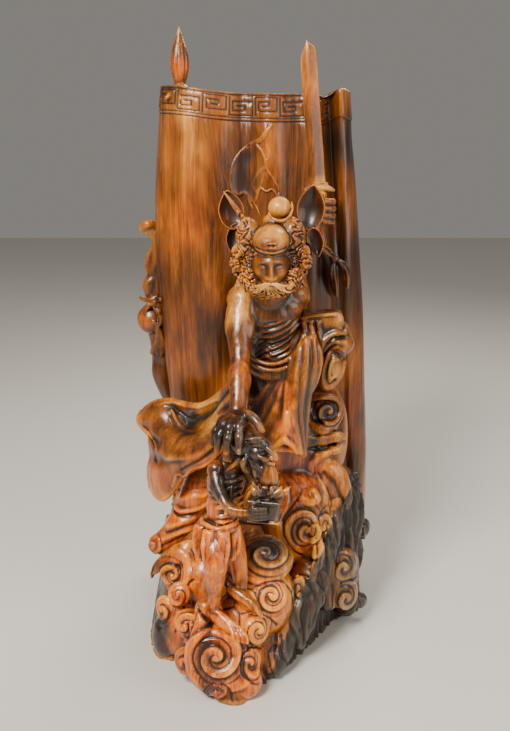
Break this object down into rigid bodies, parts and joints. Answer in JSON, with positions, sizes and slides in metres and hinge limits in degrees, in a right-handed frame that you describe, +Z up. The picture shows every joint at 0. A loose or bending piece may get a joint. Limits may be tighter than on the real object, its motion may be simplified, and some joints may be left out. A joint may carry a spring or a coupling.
{
  "type": "carved wood figure",
  "caption": "Standing wood carving of a bearded guardian who leans out of a tall trunk with a raised sword and presses down an imp, on a root base with cloud curls.",
  "frame": {"origin": "on the flat underside of the root base, below the middle of the trunk's width", "axes": "+Z up along the trunk's height, -Y towards the front, where the figures stand; +X to the viewer's right"},
  "size_m": [0.3685, 0.4343, 0.879],
  "materials": {
    "wood": "oiled and polished carved wood with a satin shine, darker in the hollows and black-brown on the bark"
  },
  "bodies": {
    "root": {"carving": "wood"}
  },
  "joints": []
}
